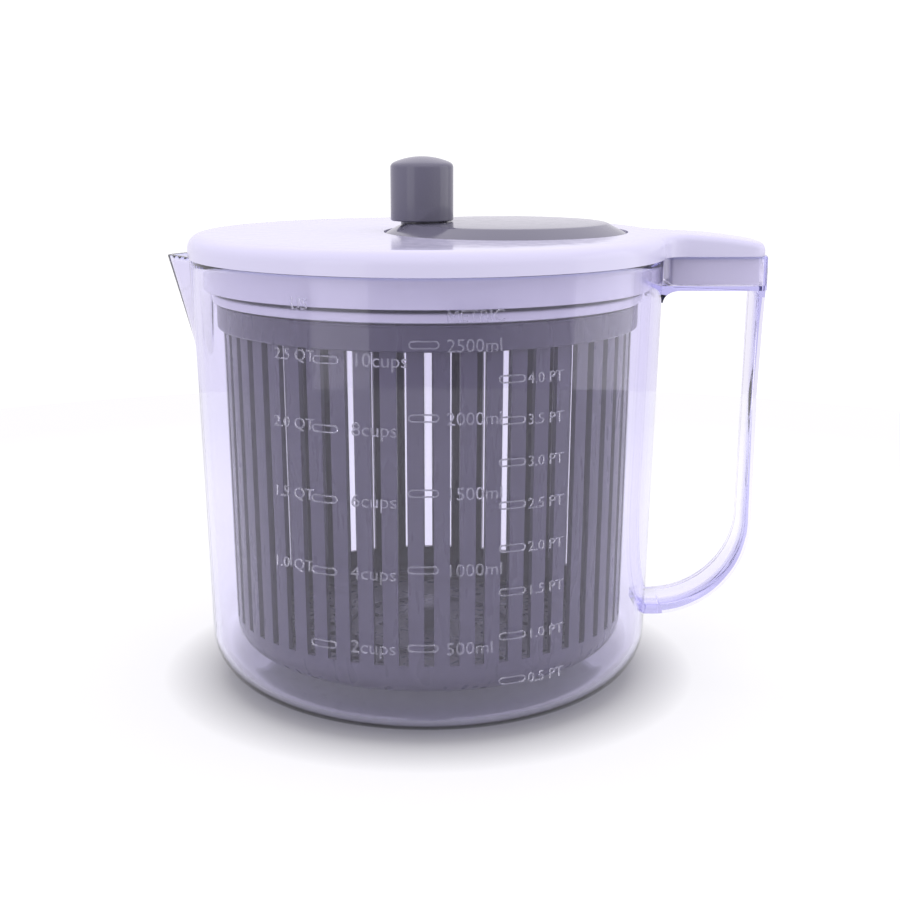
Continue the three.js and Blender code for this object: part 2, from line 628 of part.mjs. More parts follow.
function makeDrivePlate() {
  const { r, bottomZ, topZ, hubR, hubTopZ, ribs, ribZ } = PLATE;
  const sheet = turned(
    [
      [0, bottomZ - 0.8],
      [hubR, bottomZ - 0.8],
      [hubR, bottomZ],
      [r, bottomZ],
      [r, topZ - 0.6],
      [r - 0.6, topZ],
      [hubR, topZ],
      [hubR, hubTopZ],
      [0, hubTopZ],
    ],
    { sides: ROUND },
  );
  const notches = around(KEYS.count, (turn) =>
    block([NEST.innerR - 2, -NEST.notchWidth / 2, NEST.bottomZ - 1],
      [NEST.outerR + 2, NEST.notchWidth / 2, NEST.notchTopZ], turn),
  );
  const nest = cut(ring(NEST.innerR, NEST.outerR, NEST.bottomZ, bottomZ + 0.5, { sides: ROUND }), notches);
  const webs = around(ribs, (turn) =>
    block([6, -0.8, ribZ], [NEST.innerR + 0.5, 0.8, bottomZ + 0.5], turn + Math.PI / ribs),
  );
  const washerSeat = cylinder(6, ribZ - 1, bottomZ - 0.8);
  const socket = cylinder(HEX.socketR, HEX.socketZ, hubTopZ + 1, { sides: 6 });
  const shankHole = cylinder(1.6, ribZ - 1, bottomZ + 2, { sides: 12 });
  return cut(join(sheet, nest, webs), washerSeat, socket, shankHole);
}

// ---------------------------------------------------------------- the assembly

addMesh(spinner, "jug", makeJug(), finish.clear);
addMesh(spinner, "pivot_bush", makePivotBush(), finish.bearing);
addMesh(spinner, "basket", makeBasket(), finish.basketGrey);

const lid = new THREE.Group();
spinner.add(lid);
addMesh(lid, "lid_cover", makeLidCover(), finish.white);
addMesh(lid, "gear_cover", makeGearCover(), finish.white);
postPlaces.forEach(([x, y], i) => {
  addMesh(lid, `gear_cover_screw_${i + 1}`, makeScrew({ ...COVER_SCREW, x, y }), finish.steel);
});
addMesh(lid, "crank_bush", makeCrankBush(), finish.bearing);
const axle = cut(
  cylinder(AXLE.r, AXLE.bottomZ, AXLE.topZ),
  cylinder(AXLE.threadR, AXLE.bottomZ - 1, AXLE.threadTopZ, { sides: 12 }),
);
addMesh(lid, "pinion_axle", axle, finish.steel);
addMesh(lid, "pinion_washer", makeWasher(AXLE_WASHER), finish.steel);
addMesh(lid, "pinion_screw", makeScrew(AXLE_SCREW), finish.steel);

const crank = new THREE.Group();
lid.add(crank);
addMesh(crank, "crank_disc", makeCrankDisc(), finish.grey);
addMesh(crank, "drive_gear", makeDriveGear(), finish.bearing);
addMesh(crank, "crank_washer", makeWasher({ ...CRANK_WASHER, x: CRANK_X }), finish.steel);
addMesh(crank, "crank_screw", makeScrew({ ...CRANK_SCREW, x: CRANK_X }), finish.steel);
addMesh(crank, "knob_pin", makeKnobPin(), finish.steel);
addMesh(crank, "knob", makeKnob(), finish.grey);

const drive = new THREE.Group();
lid.add(drive);
addMesh(drive, "pinion", makePinion(), finish.bearing);
addMesh(drive, "drive_plate", makeDrivePlate(), finish.white);

export default spinner;
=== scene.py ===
"""A salad spinner: a clear measuring jug, a slotted basket on a pivot, and a white lid with a geared crank.

Lengths are written in millimetres and turned into metres by MM where a mesh is made. The origin is the
centre of the jug's base, +Z is up, +X points at the handle and -X at the spout.
"""

import json
import math

import bmesh
import bpy
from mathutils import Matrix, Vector
from mathutils.geometry import delaunay_2d_cdt


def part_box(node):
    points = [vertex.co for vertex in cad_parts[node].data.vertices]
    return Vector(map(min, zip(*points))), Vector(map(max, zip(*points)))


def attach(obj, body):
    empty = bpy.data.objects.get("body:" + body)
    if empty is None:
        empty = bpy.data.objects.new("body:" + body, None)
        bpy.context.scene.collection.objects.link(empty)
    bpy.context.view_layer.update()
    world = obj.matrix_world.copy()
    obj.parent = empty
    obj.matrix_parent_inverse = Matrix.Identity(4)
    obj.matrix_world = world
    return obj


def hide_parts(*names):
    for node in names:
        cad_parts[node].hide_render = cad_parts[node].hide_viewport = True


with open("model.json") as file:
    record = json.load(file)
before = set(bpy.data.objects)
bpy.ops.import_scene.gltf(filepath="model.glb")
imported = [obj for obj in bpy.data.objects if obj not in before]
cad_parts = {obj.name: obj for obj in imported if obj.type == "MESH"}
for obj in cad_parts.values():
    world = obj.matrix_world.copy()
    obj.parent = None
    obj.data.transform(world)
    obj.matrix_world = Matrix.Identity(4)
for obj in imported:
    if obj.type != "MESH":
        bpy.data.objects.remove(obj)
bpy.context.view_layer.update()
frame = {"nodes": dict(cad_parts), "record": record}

MM = 0.001
TINY = 1e-6
FRONT = -90.0  # degrees, the side with the volume marks


def top_of(node):
    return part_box(node)[1].z / MM


def bottom_of(node):
    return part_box(node)[0].z / MM


# ---------------------------------------------------------------- driving dimensions, millimetres

RIM_Z = top_of("jug")
RIM_R = 84.3
BASE_R = 80.3  # the straight wall carried down to z = 0
JUG_CORNER = 18.6
JUG_WALL = 2.3
JUG_FLOOR = 3.0
SPOUT_TIP = -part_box("jug")[0].x / MM
SPOUT_HALF = 16.0
SPOUT_LOW = 118.0
SPOUT_START = 104.0
SPOUT_SPREAD = 0.5  # radians each side, well past the spout's root
SPOUT_SOFT = 0.12  # how gently its ridge grows out of the wall
SPOUT_TIP_SOFT = 0.02  # radians over which its tip is rounded
SPOUT_ROOT_SOFT = 0.5  # how gently its two sides leave the round rim
SPOUT_SIDE = math.radians(15)  # the part of the rim each side of the tip that gets a fine mesh
SPOUT_SIDES, BOWL_SIDES = 140, 150  # steps round that part, and round the rest
PIVOT_R = 3.0

CHANNEL_HALF = 12.0
CHANNEL_Z = 143.0
CHANNEL_WALL = 1.6
CHANNEL_END = 120.2
CHANNEL_BULGE = 121.5
GRIP_HALF = 10.7
GRIP_FLANGE = 1.4
GRIP_RECESS = 1.0
BEND_X, BEND_Z = 83.5, 57.5
BEND_OUTER = 35.0
BEND_INNER_X, BEND_INNER_Z = 32.8, 31.2

BASKET_Z = bottom_of("basket")
BASKET_TOP = top_of("basket")
SLOTS = 54
SLOT_WIDTH = 3.2
SLOT_LOW, SLOT_HIGH = 25.3, 130.6
SLOT_TURN = math.radians(FRONT + 0.9)  # the middle of the front slot

MARK_DEPTH = 0.3

LID_R = 85.3
LID_Z = 155.08
LID_TOP = top_of("lid_cover")
LID_EDGE = 5.0
SKIRT_R = 80.2
SKIRT_Z = bottom_of("lid_cover")
SKIRT_FLAT = -77.3
ARM_HALF = 12.3
ARM_END = 121.0
ARM_FILLET = 10.0
ARM_DROP = 2.7  # how far the arm's top has fallen after ARM_DROP_OVER
ARM_DROP_FROM, ARM_DROP_OVER = 80.0, 35.0
ARM_DROP_POWER = 2.2
ARM_EDGE_LOSS = 2.3  # how much smaller the top edge's rounding gets along the arm
ARM_EDGE_FROM, ARM_EDGE_OVER = 78, 14
RECESS_R = 43.7
RECESS_Z = 161.6

CRANK_X = (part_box("crank_disc")[0].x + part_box("crank_disc")[1].x) / 2 / MM
KNOB_X = (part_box("knob")[0].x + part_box("knob")[1].x) / 2 / MM


# ---------------------------------------------------------------- meshes


def arc(x, z, rx, rz, start, end, steps):
    """Points on an elliptical arc, angles in degrees."""
    points = []
    for i in range(steps + 1):
        a = math.radians(start + (end - start) * i / steps)
        points.append((x + rx * math.cos(a), z + rz * math.sin(a)))
    return points


def rounded(corners, steps=4, closed=False):
    """A polyline whose corners are rounded. A corner is (x, z) or (x, z, radius)."""
    points = []
    n = len(corners)
    for i, corner in enumerate(corners):
        radius = corner[2] if len(corner) > 2 else 0
        here = Vector(corner[:2])
        if radius == 0 or (not closed and i in (0, n - 1)):
            points.append(tuple(here))
            continue
        back = (Vector(corners[i - 1][:2]) - here).normalized()
        on = (Vector(corners[(i + 1) % n][:2]) - here).normalized()
        half = math.acos(max(-1.0, min(1.0, back.dot(on)))) / 2
        reach = radius / math.tan(half)
        middle = here + (back + on).normalized() * (radius / math.sin(half))
        first, last = here + back * reach - middle, here + on * reach - middle
        turn = first.angle_signed(last)
        for k in range(steps + 1):
            a = -turn * k / steps
            points.append((
                middle.x + first.x * math.cos(a) - first.y * math.sin(a),
                middle.y + first.x * math.sin(a) + first.y * math.cos(a),
            ))
    return points


def make_object(name, verts, faces):
    mesh = bpy.data.meshes.new(name)
    mesh.from_pydata([(x * MM, y * MM, z * MM) for x, y, z in verts], [], faces)
    obj = bpy.data.objects.new(name, mesh)
    bpy.context.scene.collection.objects.link(obj)
    return tidy_mesh(obj)


def tidy_mesh(obj, sharp=32.0):
    """Welds doubles, turns the faces outwards and marks the creases."""
    bm = bmesh.new()
    bm.from_mesh(obj.data)
    bmesh.ops.remove_doubles(bm, verts=bm.verts, dist=1e-7)
    bmesh.ops.dissolve_degenerate(bm, edges=bm.edges, dist=1e-7)
    bmesh.ops.recalc_face_normals(bm, faces=bm.faces)
    if bm.calc_volume(signed=True) < 0:
        bmesh.ops.reverse_faces(bm, faces=bm.faces)
    bm.to_mesh(obj.data)
    bm.free()
    obj.data.shade_smooth()
    obj.data.set_sharp_from_angle(angle=math.radians(sharp))
    return obj


def ring_faces(pairs, sides):
    """The faces between pairs of rings of vertices, where a ring may be one vertex repeated."""
    faces = []
    for a, b in pairs:
        for i in range(sides):
            j = (i + 1) % sides
            quad = []
            for v in (a[i], a[j], b[j], b[i]):
                if v not in quad:
                    quad.append(v)
            if len(quad) > 2:
                faces.append(quad)
    return faces


def lathe(name, profile, sides=192, x=0.0, y=0.0, start=0.0):
    """Turns a closed (radius, z) profile about a vertical axis. Points on the axis become one vertex."""
    verts, rows = [], []
    for r, z in profile:
        if abs(r) < TINY:
            verts.append((x, y, z))
            rows.append([len(verts) - 1] * sides)
            continue
        first = len(verts)
        for i in range(sides):
            a = start + 2 * math.pi * i / sides
            verts.append((x + r * math.cos(a), y + r * math.sin(a), z))
        rows.append(list(range(first, first + sides)))
    return make_object(name, verts, ring_faces(zip(rows, rows[1:] + rows[:1]), sides))


def cylinder(name, radius, low, high, sides=192, x=0.0, y=0.0):
    return lathe(name, [(0, low), (radius, low), (radius, high), (0, high)], sides, x, y)


def prism(name, outline, low, high, along="z"):
    """An outline between two planes: (x, y) points raised along z, or (x, z) points widened along y."""
    n = len(outline)
    place = (lambda p, h: (p[0], p[1], h)) if along == "z" else (lambda p, h: (p[0], h, p[1]))
    verts = [place(p, low) for p in outline] + [place(p, high) for p in outline]
    faces = [list(range(n)), list(range(2 * n - 1, n - 1, -1))]
    faces += [[i, (i + 1) % n, n + (i + 1) % n, n + i] for i in range(n)]
    return make_object(name, verts, faces)


def block(name, low, high, turn=0.0):
    c, s = math.cos(turn), math.sin(turn)
    verts = []
    for z in (low[2], high[2]):
        for x, y in ((low[0], low[1]), (high[0], low[1]), (high[0], high[1]), (low[0], high[1])):
            verts.append((x * c - y * s, x * s + y * c, z))
    faces = [[0, 1, 2, 3], [7, 6, 5, 4], [0, 1, 5, 4], [1, 2, 6, 5], [2, 3, 7, 6], [3, 0, 4, 7]]
    return make_object(name, verts, faces)


def apply_modifiers(obj):
    graph = bpy.context.evaluated_depsgraph_get()
    mesh = bpy.data.meshes.new_from_object(obj.evaluated_get(graph))
    obj.modifiers.clear()
    obj.data = mesh
    return obj


def merged(name, parts):
    """Several meshes that don't touch, as one object, to cut or join in one step."""
    bm = bmesh.new()
    for part in parts:
        bm.from_mesh(part.data)
        bpy.data.objects.remove(part)
    mesh = bpy.data.meshes.new(name)
    bm.to_mesh(mesh)
    bm.free()
    obj = bpy.data.objects.new(name, mesh)
    bpy.context.scene.collection.objects.link(obj)
    return obj


def boolean(body, operation, *others):
    for other in others:
        m = body.modifiers.new("join", "BOOLEAN")
        m.operation = operation
        m.solver = "MANIFOLD"
        m.object = other
        bpy.context.view_layer.update()
        apply_modifiers(body)
        bpy.data.objects.remove(other)
    return tidy_mesh(body)


def cut(body, *others):
    return boolean(body, "DIFFERENCE", *others)


def join(body, *others):
    return boolean(body, "UNION", *others)


def bevel(obj, width, angle=40.0, segments=2):
    m = obj.modifiers.new("edges", "BEVEL")
    m.width = width * MM
    m.segments = segments
    m.limit_method = "ANGLE"
    m.angle_limit = math.radians(angle)
    m.harden_normals = False
    apply_modifiers(obj)
    return tidy_mesh(obj)


def around(count, make, start=0.0):
    return [make(i, start + 2 * math.pi * i / count) for i in range(count)]


# ---------------------------------------------------------------- jug


def jug_radius(z):
    return BASE_R + (RIM_R - BASE_R) * z / RIM_Z


def vee(angle):
    """How far a V spout stands out of a round rim at an angle from -X, its tip and its two roots rounded."""
    bend = math.sqrt(angle * angle + SPOUT_TIP_SOFT**2)
    kink = math.sqrt(RIM_R**2 - SPOUT_HALF**2)
    reach = SPOUT_HALF * SPOUT_TIP / (SPOUT_HALF * math.cos(bend) + (SPOUT_TIP - kink) * math.sin(bend))
    excess = reach - RIM_R
    return (excess + math.sqrt(excess * excess + SPOUT_ROOT_SOFT**2)) / 2


def spout_radius(z, angle):
    """The wall's outer radius at a height and an angle from -X, with the V spout drawn out of it."""
    if z < SPOUT_START or abs(angle) > SPOUT_SPREAD:
        return jug_radius(z)
    rise = (z - SPOUT_LOW) / (RIM_Z - SPOUT_LOW)
    grow = (rise + math.sqrt(rise * rise + SPOUT_SOFT**2)) / 2
    full = (1 + math.sqrt(1 + SPOUT_SOFT**2)) / 2
    start = min(1.0, (z - SPOUT_START) / (SPOUT_LOW - SPOUT_START))
    height = (SPOUT_TIP - RIM_R) * start * grow / full
    return jug_radius(z) + height * vee(angle / (0.5 + 0.5 * grow)) / vee(0.0)


def bowl(name):
    """The jug's bowl as one closed grid: outside, rim and inside, with the spout drawn out of it."""
    wall_r = jug_radius(JUG_CORNER)
    inner_corner = JUG_CORNER - JUG_FLOOR
    flat_r = 30.0
    outer = [(0.0, 0.0), (flat_r, 0.0)]
    outer += arc(wall_r - JUG_CORNER, JUG_CORNER, JUG_CORNER, JUG_CORNER, -90, 0, 14)
    outer += [(jug_radius(z), z) for z in (40, 70)]
    steps, rim_round = 22, 0.6
    for i in range(steps + 1):
        z = SPOUT_START + (RIM_Z - rim_round - SPOUT_START) * i / steps
        outer.append((jug_radius(z), z))
    outside, within = jug_radius(RIM_Z), jug_radius(RIM_Z) - JUG_WALL
    rim = [(outside - 0.18, RIM_Z - 0.18), (outside - rim_round, RIM_Z)]
    inner_rim = [(within + 0.5, RIM_Z), (within + 0.12, RIM_Z - 0.15)]
    inner = [(r - JUG_WALL, z) for r, z in reversed(outer) if z >= JUG_CORNER - TINY]
    inner += arc(wall_r - JUG_WALL - inner_corner, JUG_CORNER, inner_corner, inner_corner, 0, -90, 12)[1:]
    shoulder_z, pin_z = 11.2, 20
    pivot = rounded([
        (12, JUG_FLOOR, 0), (8.4, JUG_FLOOR, 1.2), (5, shoulder_z, 0.3), (PIVOT_R, shoulder_z, 0.3),
        (PIVOT_R, pin_z, 0.8), (0, pin_z),
    ])
    profile = outer + rim + inner_rim + inner + [(flat_r, JUG_FLOOR)] + pivot
    angles = [SPOUT_SIDE * (2 * i / SPOUT_SIDES - 1) for i in range(SPOUT_SIDES)]
    angles += [SPOUT_SIDE + 2 * (math.pi - SPOUT_SIDE) * i / BOWL_SIDES for i in range(BOWL_SIDES)]
    sides = len(angles)
    step = 1e-3  # radians, to measure the wall's slope over
    steepest = 1.5
    verts, rows = [], []
    for r, z in profile:
        if r < TINY:
            verts.append((0.0, 0.0, z))
            rows.append([len(verts) - 1] * sides)
            continue
        first = len(verts)
        for a in angles:
            away = (a + math.pi) % (2 * math.pi) - math.pi
            base = jug_radius(z)
            reach = r
            if z > SPOUT_START and r > 40:
                outer_here = spout_radius(z, away)
                ahead = spout_radius(z, away + step)
                slope = (ahead - outer_here) / step / outer_here
                reach = outer_here - (base - r) * min(steepest, math.sqrt(1 + slope * slope))
            verts.append((-reach * math.cos(away), -reach * math.sin(away), z))
        rows.append(list(range(first, first + sides)))
    return make_object(name, verts, ring_faces(zip(rows, rows[1:]), sides))


def channel_outline(inset):
    half = CHANNEL_HALF - inset
    rise = CHANNEL_BULGE - CHANNEL_END
    end_r = (CHANNEL_HALF**2 + rise**2) / (2 * rise)
    middle = CHANNEL_BULGE - end_r
    r = end_r - inset
    sweep = math.degrees(math.asin(half / r))
    ends = arc(middle, 0, r, r, -sweep, sweep, 10)
    corner = max(0.4, 1.6 - inset)
    outline = [(70, -half), (*ends[0], corner), *ends[3:-3], (*ends[-1], corner), (70, half)]
    return rounded(outline, closed=True)


def jug_handle():
    """The channel on top of the handle and the grip strip below it, up to the middle of the jug's wall."""
    channel = prism("channel", channel_outline(0), CHANNEL_Z, RIM_Z - 0.03)
    channel = bevel(channel, 0.3)
    hollow = prism("hollow", channel_outline(CHANNEL_WALL), CHANNEL_Z + CHANNEL_WALL, RIM_Z + 5)
    cut(channel, bevel(hollow, 0.6, segments=3))
    root = 76.0
    outer = [(120.1, CHANNEL_Z + 1), (119.5, 132), (118.5, 104)]
    outer += arc(BEND_X, BEND_Z, BEND_OUTER, BEND_OUTER, 0, -90, 30) + [(root, BEND_Z - BEND_OUTER)]
    inner = [(root, BEND_Z - BEND_INNER_Z)] + arc(BEND_X, BEND_Z, BEND_INNER_X, BEND_INNER_Z, -90, 0, 30)
    inner += [(117.7, CHANNEL_Z + 1)]
    strip = bevel(prism("strip", outer + inner, -GRIP_HALF, GRIP_HALF, along="y"), 0.35)
    web_r = BEND_OUTER - GRIP_RECESS
    web = [(119.1, CHANNEL_Z - 2.5), (118.5, 132), (117.5, 104)]
    web += arc(BEND_X, BEND_Z, web_r, web_r, 0, -84, 30)
    web += arc(BEND_X, BEND_Z, web_r + 6, web_r + 6, -84, 0, 12) + [(126, CHANNEL_Z - 2.5)]
    half = GRIP_HALF - GRIP_FLANGE
    cut(strip, prism("web", web, -half, half, along="y"))
    fillet_r, fillet_drop = 6.0, 4.2
    fillet_x = jug_radius(CHANNEL_Z) + fillet_r - 0.5
    fillet = [(root, CHANNEL_Z - fillet_drop), (root, CHANNEL_Z + 0.8), (fillet_x, CHANNEL_Z + 0.8)]
    fillet += arc(fillet_x, CHANNEL_Z - fillet_drop, fillet_r, fillet_drop, 90, 180, 8)
    fillet = prism("fillet", fillet, -CHANNEL_HALF, CHANNEL_HALF, along="y")
    handle = join(channel, strip, fillet)
    middle = JUG_WALL / 2
    core = [(0, -5), (jug_radius(-5) - middle, -5), (jug_radius(170) - middle, 170), (0, 170)]
    return cut(handle, lathe("core", core))


def build_jug():
    return join(bowl("jug_clear"), jug_handle())


# ---------------------------------------------------------------- basket


def build_basket():
    wall, floor = 2.0, 2.2
    band_r, band_z, lip_r = 75.6, 130.8, 75.8
    top_r, low_r, corner = 73.5, 71.8, 11.0
    bore_r = 5.15
    profile = [(bore_r, BASKET_Z), (12, BASKET_Z)]
    profile += arc(low_r - corner, BASKET_Z + corner, corner, corner, -90, 0, 8)
    profile += [(low_r + 0.02, SLOT_LOW), (top_r, SLOT_HIGH)]
    profile += rounded([
        (top_r, SLOT_HIGH), (band_r - 0.5, band_z, 0), (band_r, band_z + 0.5, 0.2),
        (band_r, BASKET_TOP - 0.8, 0.2), (lip_r, BASKET_TOP - 0.75, 0.15), (lip_r, BASKET_TOP, 0.25),
        (band_r - wall, BASKET_TOP, 0.3), (band_r - wall, band_z + 0.8, 0.3), (top_r - wall, SLOT_HIGH),
    ])[1:]
    profile += [(low_r - wall, SLOT_LOW)]
    profile += arc(low_r - corner, BASKET_Z + corner, corner - wall, corner - floor, 0, -90, 8)
    inner_z = BASKET_Z + floor
    ridge_z = inner_z + 1.2
    for ridge in (58, 30.5):
        profile += [(ridge + 1.2, inner_z), (ridge + 0.8, ridge_z)]
        profile += [(ridge - 0.8, ridge_z), (ridge - 1.2, inner_z)]
    profile += rounded([(16, inner_z), (8, inner_z, 1.5), (8, 24, 1.5), (0, 24)])
    profile += [(0, 21.9), (bore_r, 21.9)]
    per_slot = 6
    sides = SLOTS * per_slot
    basket = lathe("basket_slotted", profile, sides, start=SLOT_TURN - math.pi / SLOTS)

    def slot(_, turn):
        return block("slot", (68, -SLOT_WIDTH / 2, SLOT_LOW), (76, SLOT_WIDTH / 2, SLOT_HIGH), turn)

    cut(basket, merged("slots", around(SLOTS, slot, SLOT_TURN)))

    hole_r, holes = 1.9, []
    for ring_r, count in ((16.5, 10), (23.5, 14), (37.0, 22), (44.5, 26), (51.5, 30)):
        holes += around(count, lambda _, a, r=ring_r: cylinder(
            "hole", hole_r, 10, 18, 12, r * math.cos(a), r * math.sin(a)))
    cut(basket, merged("holes", holes))

    def key(_, turn):
        return block("key", (71.9, -1.5, 131.6), (74.6, 1.5, 138.3), turn)

    join(basket, merged("keys", around(6, key)))
    return basket


# ---------------------------------------------------------------- lid


def arm_top(x):
    """The height of the lid's top: level over the jug, falling in a curve along the arm."""
    return LID_TOP - ARM_DROP * max(0.0, (x - ARM_DROP_FROM) / ARM_DROP_OVER) ** ARM_DROP_POWER


def lid_outline(fillet=ARM_FILLET, corner=5.4):
    """The lid seen from above, clockwise: from the spout's side along +Y to the arm's end and back."""
    fillet_y = ARM_HALF + fillet
    fillet_x = math.sqrt((LID_R + fillet) ** 2 - fillet_y**2)
    rim = math.degrees(math.atan2(fillet_y, fillet_x))
    half = arc(0, 0, LID_R, LID_R, 180, rim, 90)
    half += arc(fillet_x, fillet_y, fillet, fillet, -180 + rim, -90, 10)[1:]
    half += [(x, ARM_HALF) for x in (96, 100, 104, 108, 112)]
    bulge = 1.0
    half += arc(ARM_END - bulge - corner, ARM_HALF - corner, corner, corner, 90, 4, 8)
    half += [(ARM_END - 0.25, 3.6), (ARM_END, 0.0)]
    below = [(x, -y) for x, y in reversed(half[1:-1])]
    return half + below


def inward(outline, distance):
    """The outline moved to its right-hand side, which is inwards for a clockwise outline."""
    moved = []
    n = len(outline)
    for i, (x, y) in enumerate(outline):
        before, after = Vector(outline[i - 1]), Vector(outline[(i + 1) % n])
        along = (after - before).normalized()
        moved.append((x + along.y * distance, y - along.x * distance))
    return moved


def rounded_slab(name):
    """The lid's outer shape: upright sides, a rounded top edge and a top that falls along the arm."""
    outline = lid_outline()

    def edge_radius(x):
        return LID_EDGE - ARM_EDGE_LOSS * max(0.0, min(1.0, (x - ARM_EDGE_FROM) / ARM_EDGE_OVER))

    steps = 8
    rows = [[(x, y, LID_Z) for x, y in outline]]
    normals = inward(outline, 1.0)
    low_edge = 0.35
    for k in range(steps + 1):
        a = math.pi / 2 * k / steps
        row = []
        for (x, y), (nx, ny) in zip(outline, normals):
            r = edge_radius(x)
            moved = r * (1 - math.cos(a))
            px, py = x + (nx - x) * moved, y + (ny - y) * moved
            top = arm_top(px)
            row.append((px, py, max(LID_Z + low_edge, top - r + r * math.sin(a))))
        rows.append(row)
    n = len(outline)
    verts = [v for row in rows for v in row]
    faces = []
    for k in range(len(rows) - 1):
        for i in range(n):
            j = (i + 1) % n
            faces.append([k * n + i, k * n + j, (k + 1) * n + j, (k + 1) * n + i])
    faces.append(list(range(n)))
    ring = [Vector(p[:2]) for p in rows[-1]]
    extra = [Vector((x, y)) for x in range(-72, 118, 6) for y in range(-72, 73, 6)
             if inside(ring, x, y, 2.5)]
    edges = [(i, (i + 1) % n) for i in range(n)]
    out = delaunay_2d_cdt(ring + extra, edges, [], 1, 1e-4)
    first = len(verts)
    verts += [(p.x, p.y, arm_top(p.x)) for p in out[0]]
    faces += [[first + v for v in face] for face in out[2]]
    return make_object(name, verts, faces)


def inside(ring, x, y, margin):
    """Whether a point is inside a closed ring of 2D points and at least margin from it."""
    found = False
    n = len(ring)
    for i in range(n):
        a, b = ring[i], ring[(i + 1) % n]
        if (a.x - x) ** 2 + (a.y - y) ** 2 < margin**2:
            return False
        if (a.y > y) != (b.y > y) and x < (b.x - a.x) * (y - a.y) / (b.y - a.y) + a.x:
            found = not found
    return found


def build_lid():
    lid = rounded_slab("lid_white")
    plate, skirt_wall = 2.0, 2.0
    inner = SKIRT_R - skirt_wall
    under = LID_TOP - plate
    groove_r, groove_low, groove_high = LID_R - 1.9, LID_Z - 5, LID_Z + 0.1
    groove = [(SKIRT_R, groove_low), (groove_r, groove_low), (groove_r, groove_high), (SKIRT_R, groove_high)]
    groove = cut(lathe("groove", groove), block("keep", (60, -20, 100), (130, 20, 200)))
    skirt = [(0, SKIRT_Z), (SKIRT_R, SKIRT_Z, 0.5), (SKIRT_R, under + 0.5), (0, under + 0.5)]
    skirt = lathe("skirt", rounded(skirt))
    wide, low_z, high_z = 95, 100, 200  # a block well past the lid's spout side
    cut(skirt, block("beyond", (-wide, -wide, low_z), (SKIRT_FLAT, wide, high_z)))
    join(lid, skirt)
    hollow = lathe("hollow", [(0, SKIRT_Z - 3), (inner, SKIRT_Z - 3), (inner, under), (0, under)])
    cut(hollow, block("beyond", (-wide, -wide, low_z), (SKIRT_FLAT + skirt_wall, wide, high_z)))
    cut(lid, groove, hollow)
    recess_low = RECESS_Z - 2
    well = cylinder("well", RECESS_R + 2, recess_low, LID_TOP - 1, 192, CRANK_X)
    root = recess_low + 0.5
    parts = [cylinder("collar", 10.5, 156.5, root, 48, CRANK_X), cylinder("boss", 5, 155.1, root, 32)]
    places = []
    for i in range(1, 5):
        low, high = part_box(f"gear_cover_screw_{i}")
        places.append(((low.x + high.x) / 2 / MM, (low.y + high.y) / 2 / MM))
    for x, y in places:
        parts.append(cylinder("post", 3.2, 147.9, root, 32, x, y))
    join(lid, well, merged("bosses", parts))
    mouth = [(0, RECESS_Z), (RECESS_R, RECESS_Z, 0.5), (RECESS_R, LID_TOP)]
    mouth += [(RECESS_R, LID_TOP + 2), (0, LID_TOP + 2)]
    holes = [cylinder("bush_bore", 8, 150, 161, 48, CRANK_X), cylinder("axle_bore", 2.2, 150, 158.8, 24)]
    holes += [cylinder("pilot", 1.35, 140, 156, 16, x, y) for x, y in places]
    cut(lid, merged("holes", holes), lathe("mouth", rounded(mouth), x=CRANK_X),
        cylinder("through", 8, 160, 163, 48, CRANK_X))
    near, far, side = 86.4, 118, 9.7
    tongue = rounded([(near, -side, 1), (far, -side, 1), (far, side, 1), (near, side, 1)], closed=True)
    join(lid, bevel(prism("tongue", tongue, 145, LID_Z + 1), 0.5))
    cavity = [(88, 140), (116.4, 140)] + [(x, arm_top(x) - 3.2) for x in (116.4, 112, 106, 100, 94, 88)]
    cut(lid, prism("cavity", cavity, -8.1, 8.1, along="y"))
    return lid


# ---------------------------------------------------------------- crank, knob and drive plate


def build_crank_disc():
    top, low, r = top_of("crank_disc"), 162.0, 43.2
    profile = [(0, top), (20, top - 0.05), (33, top - 0.3)]
    hub_r, hub_z = 5.5, 155.1
    profile += rounded([
        (33, top - 0.3), (36.2, top - 0.45, 3), (41.6, low + 1.5, 2.5), (r, low + 0.7, 0.6), (r, low, 0.25),
        (r - 1.9, low, 0.3), (r - 1.9, low + 0.9, 0.3), (36, top - 2.6, 1.5), (8.5, top - 2.2, 1),
        (hub_r, top - 3.2),
    ])[1:]
    profile += [(hub_r, hub_z), (0, hub_z)]
    disc = lathe("crank_disc_grey", profile, x=CRANK_X)
    boss = cylinder("boss", 7.5, low + 0.1, top - 1, 48, KNOB_X)
    key = cylinder("key", 4.6, 149.6, 156, 48, CRANK_X)
    flat, beyond = 3.6, 8
    cut(key, block("flat", (CRANK_X + flat, -6, 140), (CRANK_X + beyond, 6, 160)),
        block("flat", (CRANK_X - beyond, -6, 140), (CRANK_X - flat, 6, 160)))
    seat_low, seat_high = low + 0.5, bottom_of("knob") + 0.55  # a ring that reaches into the hollow knob
    seat = [(6.0, seat_low), (7.6, seat_low), (7.6, seat_high), (6.0, seat_high)]
    join(disc, boss, key, lathe("seat_ring", seat, 48, KNOB_X))
    cut(disc, cylinder("bore", 1.4, 140, 159, 24, CRANK_X), cylinder("pin_hole", 3.1, 160, 170, 32, KNOB_X),
        cylinder("pin_seat", 4.8, 160, low + 1.6, 32, KNOB_X))
    return disc


